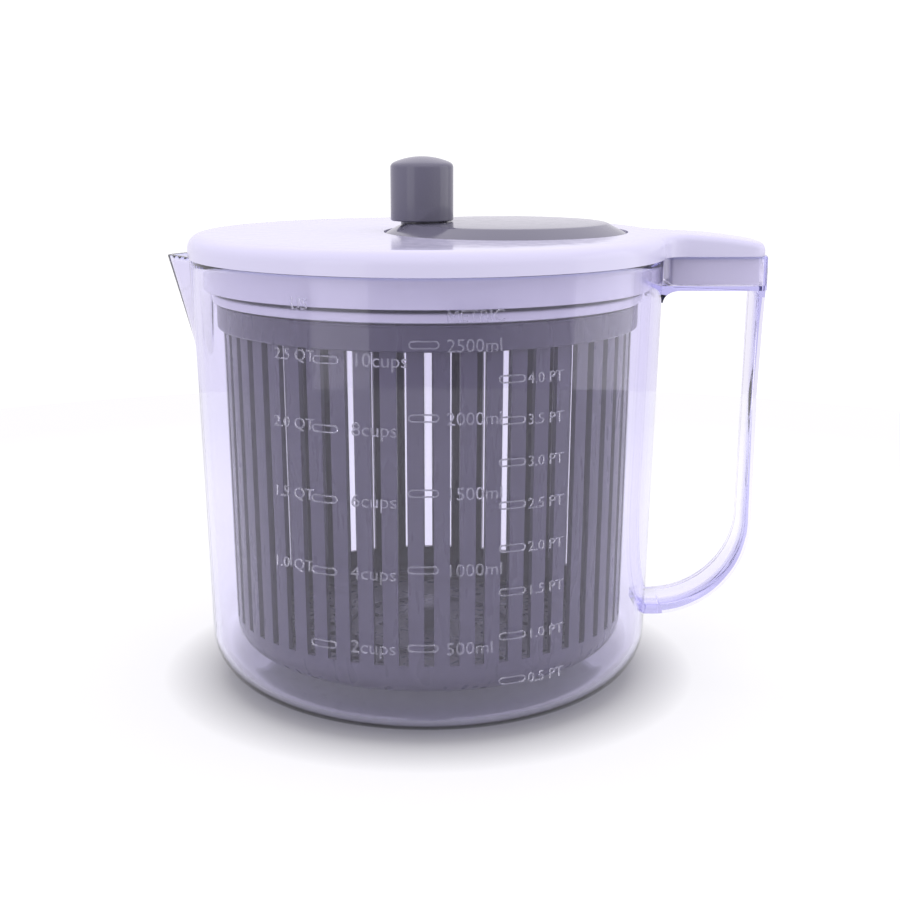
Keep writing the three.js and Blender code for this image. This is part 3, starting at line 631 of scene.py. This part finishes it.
def build_knob():
    low, top = bottom_of("knob"), top_of("knob")
    r, side_top = 11.25, 187.0
    dome = top - side_top
    dome_r = (r**2 + dome**2) / (2 * dome)
    sweep = math.degrees(math.asin(9.4 / dome_r))
    crown = arc(0, top - dome_r, dome_r, dome_r, 90, 90 - sweep, 8)
    sleeve_r, sleeve_z, bore_r, bore_z = 5, low + 0.4, 3, 180
    profile = crown + rounded([
        crown[-1], (r, side_top - 0.1, 2.0), (r, low, 0.5), (r - 2, low, 0.3), (r - 2, 184, 0.5),
        (sleeve_r, 184, 0.3), (sleeve_r, sleeve_z), (bore_r, sleeve_z), (bore_r, bore_z),
    ], steps=6)[1:]
    profile += [(3.8, bore_z), (3.8, 183.3), (0, 183.3)]
    return lathe("knob_grey", profile, 96, KNOB_X)


def build_drive_plate():
    low, top, r = 140.2, 143.3, 77.2
    hub_r, hub_low, hub_top = 8.2, low - 0.8, top_of("drive_plate")
    profile = rounded([
        (0, hub_low), (hub_r, hub_low, 0.2), (hub_r, low), (r, low, 0.5), (r, top, 0.8), (hub_r, top, 0.8),
        (hub_r, hub_top, 0.4), (0, hub_top),
    ])
    plate = lathe("drive_plate_white", profile)
    ring_low = bottom_of("drive_plate")
    ring = rounded([(71, ring_low, 0.3), (73, ring_low, 0.3), (73, low + 0.5), (71, low + 0.5)], closed=True)
    nest = lathe("nest", ring)

    def notch(_, turn):
        return block("notch", (69, -2.5, 130), (75, 2.5, 138.6), turn)

    def rib(_, turn):
        return block("rib", (6, -0.8, 137.6), (71.5, 0.8, low + 0.5), turn)

    cut(nest, merged("notches", around(6, notch)))
    ribs = merged("ribs", around(6, rib, math.pi / 6))
    join(plate, nest)
    cut(ribs, cylinder("seat", 6, 130, hub_low, 32))
    join(plate, ribs)
    cut(plate, cylinder("socket", 5.35, low + 1.4, 150, 6), cylinder("shank", 1.6, 136, 145, 16))
    return plate


# ---------------------------------------------------------------- volume marks


def level(litres):
    """The height of the water's surface for a volume. It rises more slowly as the jug gets wider."""
    first_mark, rise, widening = 34.9, 54.45, 2.35
    more = litres - 0.5
    return first_mark + rise * more - widening * more**2


def pill(x, z, length=9.6, height=2.7, line=0.5):
    """A flat ring with round ends, x along the wall and z up, between the depths 0 and 1."""
    rings = []
    for inset in (0, line):
        h = height / 2 - inset
        half = length / 2 - height / 2
        rings.append(arc(x + half, z, h, h, -90, 90, 8) + arc(x - half, z, h, h, 90, 270, 8))
    n = len(rings[0])
    verts = [(a, b, depth) for depth in (0, 1) for ring in rings for a, b in ring]
    faces = []
    for i in range(n):
        j = (i + 1) % n
        faces += [[i, j, 2 * n + j, 2 * n + i], [n + i, n + j, 3 * n + j, 3 * n + i],
                  [i, j, n + j, n + i], [2 * n + i, 2 * n + j, 3 * n + j, 3 * n + i]]
    return make_object("pill", verts, faces)


def lettering(words, x, z, size):
    """Words as solid letters that start at x, centred on the height z, between the depths 0 and 1."""
    curve = bpy.data.curves.new("mark", "FONT")
    curve.body = words
    curve.size = size
    curve.extrude = 0.5
    curve.resolution_u = 3
    holder = bpy.data.objects.new("mark", curve)
    bpy.context.scene.collection.objects.link(holder)
    mesh = bpy.data.meshes.new_from_object(holder.evaluated_get(bpy.context.evaluated_depsgraph_get()))
    bpy.data.objects.remove(holder)
    verts = [(x + v.co.x, z + v.co.y - 0.36 * size, v.co.z + 0.5) for v in mesh.vertices]
    return make_object("letters", verts, [list(p.vertices) for p in mesh.polygons])


def build_marks():
    """Raised pills and units on the jug's front: quarts and cups on shared pills, millilitres and pints."""
    cup, quart, pint = 0.2366, 0.9464, 0.5683  # litres
    quart_x, cup_pill_x, cup_x, metric_x, pint_pill_x, pint_x = -50.6, -31.4, -22.6, 6.8, 27.8, 32.9
    parts = [lettering("US", -44.4, 146.2, 5.6), lettering("METRIC", metric_x, 143.4, 5.4)]
    for i in range(1, 6):
        z = level(0.5 * i)
        parts += [pill(0, z), lettering(f"{500 * i}ml", metric_x, z - 0.2, 6.0)]
        z = level(2 * i * cup)
        parts += [pill(cup_pill_x, z + 0.6, 9.0), lettering(f"{2 * i}cups", cup_x, z + 1.2, 6.3)]
    for i in range(2, 6):
        parts.append(lettering(f"{i / 2:.1f} QT", quart_x, level(i / 2 * quart) + 1.6, 5.3))
    for i in range(1, 9):
        z = level(i / 2 * pint) - 1
        parts += [pill(pint_pill_x, z, 9.0), lettering(f"{i / 2:.1f} PT", pint_x, z, 5.0)]
    marks = merged("volume_marks", parts)
    middle, spread, even_z = 8.0, 0.001, 130  # the columns stand a little wider apart towards the bottom
    clear_of_wall, wrap_r = 0.02, 83.0
    for v in marks.data.vertices:
        x, z, out = v.co.x / MM, v.co.y / MM, v.co.z / MM
        x = middle + (x - middle) * (1 + spread * (even_z - z))
        r = jug_radius(z) + clear_of_wall + MARK_DEPTH * out
        a = math.radians(FRONT) + x / wrap_r
        v.co = Vector((r * math.cos(a), r * math.sin(a), z)) * MM
    return tidy_mesh(marks)


# ---------------------------------------------------------------- materials


class Nodes:
    """A material's node tree with a Principled shader, and short calls for the nodes it is fed by."""

    def __init__(self, name, colour, roughness, **sockets):
        self.material = bpy.data.materials.new(name)
        self.material.use_nodes = True
        self.tree = self.material.node_tree
        self.shader = self.tree.nodes["Principled BSDF"]
        self.shader.inputs["Base Color"].default_value = (*colour, 1)
        self.shader.inputs["Roughness"].default_value = roughness
        for key, value in sockets.items():
            self.shader.inputs[key.replace("_", " ")].default_value = value
        self.place = self.tree.nodes.new("ShaderNodeTexCoord").outputs["Object"]

    def add(self, kind, **settings):
        node = self.tree.nodes.new(kind)
        for key, value in settings.items():
            setattr(node, key, value)
        return node

    def link(self, a, b):
        self.tree.links.new(a, b)

    def noise(self, scale, detail=3.0, stretch=None):
        node = self.add("ShaderNodeTexNoise")
        node.inputs["Scale"].default_value = scale
        node.inputs["Detail"].default_value = detail
        source = self.place
        if stretch:
            mapping = self.add("ShaderNodeMapping")
            mapping.inputs["Scale"].default_value = stretch
            self.link(self.place, mapping.inputs["Vector"])
            source = mapping.outputs["Vector"]
        self.link(source, node.inputs["Vector"])
        return node.outputs["Fac"]

    def spread(self, value, low, high, to_low, to_high):
        node = self.add("ShaderNodeMapRange")
        for key, number in (("From Min", low), ("From Max", high), ("To Min", to_low), ("To Max", to_high)):
            node.inputs[key].default_value = number
        self.link(value, node.inputs["Value"])
        return node.outputs["Result"]

    def colours(self, value, dark, light):
        node = self.add("ShaderNodeMix", data_type="RGBA")
        self.link(value, node.inputs["Factor"])
        node.inputs[6].default_value = (*dark, 1)
        node.inputs[7].default_value = (*light, 1)
        return node.outputs[2]

    def bump(self, value, strength, distance):
        node = self.add("ShaderNodeBump")
        node.inputs["Strength"].default_value = strength
        node.inputs["Distance"].default_value = distance
        self.link(value, node.inputs["Height"])
        self.link(node.outputs["Normal"], self.shader.inputs["Normal"])


def moulded(name, colour, roughness, ripple=0.00006, tint=0.03, grain=45, below=None):
    """Opaque moulded plastic: slightly uneven gloss and colour, faint flow ripple and fine scuffs.

    below is a paler colour painted on the parts under the lid's edge: painted light, standing in for the
    light that soaks through the white plastic and brightens them.
    """
    n = Nodes(name, colour, roughness)
    dark = tuple(c * (1 - tint) for c in colour)
    light = tuple(min(1.0, c * (1 + tint)) for c in colour)
    mixed = n.colours(n.spread(n.noise(18), 0.3, 0.7, 0, 1), dark, light)
    # Painted light: below the lid's edge the base colour fades to the paler one, a painted glow for light
    # soaking through.
    if below:
        split = n.add("ShaderNodeSeparateXYZ")
        n.link(n.place, split.inputs[0])
        painted_glow_mask = n.spread(split.outputs["Z"], (LID_Z - 0.6) * MM, (LID_Z + 0.1) * MM, 0, 1)
        both = n.colours(painted_glow_mask, below, colour)
        n.link(mixed, both.node.inputs[7])
        mixed = both
    n.link(mixed, n.shader.inputs["Base Color"])
    scuffs = n.noise(260, 4, (1, 1, 0.2))
    n.link(n.spread(scuffs, 0.35, 0.75, roughness * 0.8, roughness * 1.45), n.shader.inputs["Roughness"])
    n.bump(n.noise(grain, 2), 0.25, ripple)
    return n.material


def clear_plastic():
    """Clear styrene with a faint lavender tint, painted a deeper blue at the rim as painted shade for the
    dark line its edge shows. Lamps shine through it.
    """
    wall, edge = (0.935, 0.92, 0.99), (0.72, 0.74, 0.97)
    n = Nodes("clear_plastic", wall, 0.02, IOR=1.49)
    n.shader.inputs["Transmission Weight"].default_value = 1.0
    split = n.add("ShaderNodeSeparateXYZ")
    n.link(n.place, split.inputs[0])
    # Painted shade: over the rim's top millimetre the colour turns to a deeper blue, standing in for the
    # dark line seen along the rim.
    rim = n.spread(split.outputs["Z"], (RIM_Z - 1.3) * MM, (RIM_Z - 0.3) * MM, 0, 1)
    n.link(n.colours(rim, wall, edge), n.shader.inputs["Base Color"])
    n.link(n.spread(n.noise(30, 2), 0.3, 0.75, 0.0, 0.05), n.shader.inputs["Roughness"])
    n.bump(n.noise(14, 1), 0.2, 0.00012)
    clear = n.add("ShaderNodeBsdfTransparent")
    clear.inputs["Color"].default_value = (0.98, 0.975, 1.0, 1)
    path = n.add("ShaderNodeLightPath")
    mix = n.add("ShaderNodeMixShader")
    output = n.tree.nodes["Material Output"]
    n.link(path.outputs["Is Shadow Ray"], mix.inputs[0])
    n.link(n.shader.outputs["BSDF"], mix.inputs[1])
    n.link(clear.outputs["BSDF"], mix.inputs[2])
    n.link(mix.outputs["Shader"], output.inputs["Surface"])
    depth = n.add("ShaderNodeVolumeAbsorption")
    depth.inputs["Color"].default_value = (0.1, 0.06, 0.82, 1)
    depth.inputs["Density"].default_value = 22
    n.link(depth.outputs["Volume"], output.inputs["Volume"])
    return n.material


def mark_plastic():
    """The raised marks: the jug's plastic, left slightly matt by the mould."""
    n = Nodes("mark_plastic", (0.86, 0.85, 0.94), 0.25, IOR=1.49)
    n.shader.inputs["Transmission Weight"].default_value = 0.92
    n.link(n.spread(n.noise(300, 2), 0.3, 0.7, 0.14, 0.24), n.shader.inputs["Roughness"])
    return n.material


def steel():
    n = Nodes("zinc_steel", (0.72, 0.72, 0.74), 0.3, Metallic=1.0)
    n.link(n.spread(n.noise(400, 3, (1, 1, 0.1)), 0.3, 0.7, 0.22, 0.45), n.shader.inputs["Roughness"])
    n.bump(n.noise(500, 2), 0.2, 0.00003)
    return n.material


# Every white part below the lid's edge, the skirt, tongue and drive plate, gets the paler painted glow.
WHITE = moulded("white_plastic", (0.62, 0.6, 0.76), 0.13, ripple=0.000006, tint=0.01,
                below=(0.84, 0.82, 0.91))
GREY = moulded("crank_plastic", (0.128, 0.123, 0.166), 0.1, ripple=0.00004)
BASKET = moulded("basket_plastic", (0.118, 0.107, 0.155), 0.3, tint=0.05, grain=120)
BEARING = moulded("bearing_plastic", (0.75, 0.74, 0.7), 0.38)
CLEAR = clear_plastic()
MARKS = mark_plastic()
STEEL = steel()
LOOKS = {"clear_plastic": CLEAR, "white_plastic": WHITE, "crank_plastic": GREY, "basket_plastic": BASKET,
         "bearing_plastic": BEARING, "steel": STEEL}


# ---------------------------------------------------------------- pieces on their bodies


def finish_piece(obj, body, slot, material, *nodes):
    obj.data.materials.clear()
    obj.data.materials.append(material)
    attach(obj, body)
    if nodes:
        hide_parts(*nodes)


def add_camera():
    """The photograph's view: from the front, a little above, with a moderate lens."""
    down = 12.563  # degrees
    camera = bpy.data.cameras.new("camera")
    camera.lens = 58.67
    camera.sensor_width = 36
    camera.clip_start = 0.01
    holder = bpy.data.objects.new("camera", camera)
    holder.location = (0.00802, -0.5309, 0.201)
    holder.rotation_euler = (math.radians(90 - down), 0, 0)
    bpy.context.scene.collection.objects.link(holder)
    bpy.context.scene.camera = holder


def area_light(name, place, aim, size, energy):
    light = bpy.data.lights.new(name, "AREA")
    light.shape = "RECTANGLE"
    light.size, light.size_y = size
    light.energy = energy
    holder = bpy.data.objects.new(name, light)
    holder.location = place
    holder.rotation_euler = (Vector(aim) - Vector(place)).to_track_quat("-Z", "Y").to_euler()
    bpy.context.scene.collection.objects.link(holder)


def add_studio():
    """A round white table in a white room that is darker in front, with two soft boxes and top light."""
    floor_r = 600
    floor = prism("floor", arc(0, 0, floor_r, floor_r, 0, 357, 119), -10, -0.05)
    n = Nodes("floor_white", (0.4, 0.4, 0.4), 0.9)
    n.shader.inputs["Specular IOR Level"].default_value = 0.0
    n.shader.inputs["Emission Color"].default_value = (1, 1, 1, 1)
    length = n.add("ShaderNodeVectorMath", operation="LENGTH")
    n.link(n.place, length.inputs[0])
    distance = length.outputs["Value"]
    # The table glows a little to stay as white as the room: a painted glow, strongest in a ring round the
    # jug to lift its contact shadow, faint under the jug where the shadow is kept, and less again far away.
    painted_floor_glow = n.spread(distance, 0.075, 0.1, 0.1, 0.0)
    n.link(n.spread(distance, 0.3, 0.5, 0.56, 0.46), painted_floor_glow.node.inputs["To Max"])
    n.link(painted_floor_glow, n.shader.inputs["Emission Strength"])
    floor.data.materials.append(n.material)
    world = bpy.data.worlds.new("studio")
    bpy.context.scene.world = world
    world.use_nodes = True
    tree = world.node_tree

    def node(kind, **inputs):
        made = tree.nodes.new(kind)
        for key, value in inputs.items():
            made.inputs[key.replace("_", " ")].default_value = value
        return made

    room = tree.nodes["Background"]
    place = node("ShaderNodeTexCoord")
    split = node("ShaderNodeSeparateXYZ")
    tree.links.new(place.outputs["Generated"], split.inputs[0])
    behind = node("ShaderNodeMapRange", From_Min=-1.0, From_Max=-0.6, To_Min=0.56, To_Max=0.95)
    above = node("ShaderNodeMapRange", From_Min=0.25, From_Max=0.8, To_Min=0.0, To_Max=0.6)
    tree.links.new(split.outputs["Y"], behind.inputs["Value"])
    tree.links.new(split.outputs["Z"], above.inputs["Value"])
    both = node("ShaderNodeMath")
    tree.links.new(behind.outputs["Result"], both.inputs[0])
    tree.links.new(above.outputs["Result"], both.inputs[1])
    tree.links.new(both.outputs["Value"], room.inputs["Strength"])
    room.inputs["Color"].default_value = (0.985, 0.96, 1.04, 1)
    # Seen straight or through clear plastic alone, the room is plain white.
    white = node("ShaderNodeBackground", Color=(1, 1, 1, 1), Strength=1.12)
    path = node("ShaderNodeLightPath")
    other, rest = node("ShaderNodeMath"), node("ShaderNodeMath")
    for step in (other, rest):
        step.operation = "SUBTRACT"
    tree.links.new(path.outputs["Ray Depth"], other.inputs[0])
    tree.links.new(path.outputs["Transmission Depth"], other.inputs[1])
    tree.links.new(other.outputs["Value"], rest.inputs[0])
    tree.links.new(path.outputs["Glossy Depth"], rest.inputs[1])
    seen = room.outputs[0]
    for factor, background in (
        (path.outputs["Transmission Depth"], white),
        (rest.outputs["Value"], room),
        (path.outputs["Is Camera Ray"], white),
    ):
        mix = node("ShaderNodeMixShader")
        tree.links.new(factor, mix.inputs[0])
        tree.links.new(seen, mix.inputs[1])
        tree.links.new(background.outputs[0], mix.inputs[2])
        seen = mix.outputs[0]
    tree.links.new(seen, tree.nodes["World Output"].inputs["Surface"])
    area_light("left_box", (-0.77, -0.92, 0.1), (0, 0, 0.1), (0.6, 1.4), 1.7)
    area_light("right_box", (1.2, 0.05, 0.1), (0, 0, 0.1), (0.9, 1.4), 3.0)


add_camera()
add_studio()

finish_piece(build_jug(), "jug", "clear_plastic", CLEAR, "jug")
finish_piece(build_marks(), "jug", "clear_plastic", MARKS)
finish_piece(build_basket(), "basket", "basket_plastic", BASKET, "basket")
finish_piece(build_lid(), "lid", "white_plastic", WHITE, "lid_cover")
finish_piece(build_crank_disc(), "crank", "crank_plastic", GREY, "crank_disc")
finish_piece(build_knob(), "knob", "crank_plastic", GREY, "knob")
finish_piece(build_drive_plate(), "drive", "white_plastic", WHITE, "drive_plate")

for entry in frame["record"]["subparts"]:
    node = frame["nodes"][entry["node"]]
    if not node.hide_render:
        node.data.materials.clear()
        node.data.materials.append(LOOKS[entry["material_slot"]])

bpy.context.scene.view_settings.view_transform = "Standard"
bpy.context.scene.cycles.use_denoising = True
bpy.context.scene.cycles.max_bounces = 20
bpy.context.scene.cycles.glossy_bounces = 12
bpy.context.scene.cycles.transmission_bounces = 20
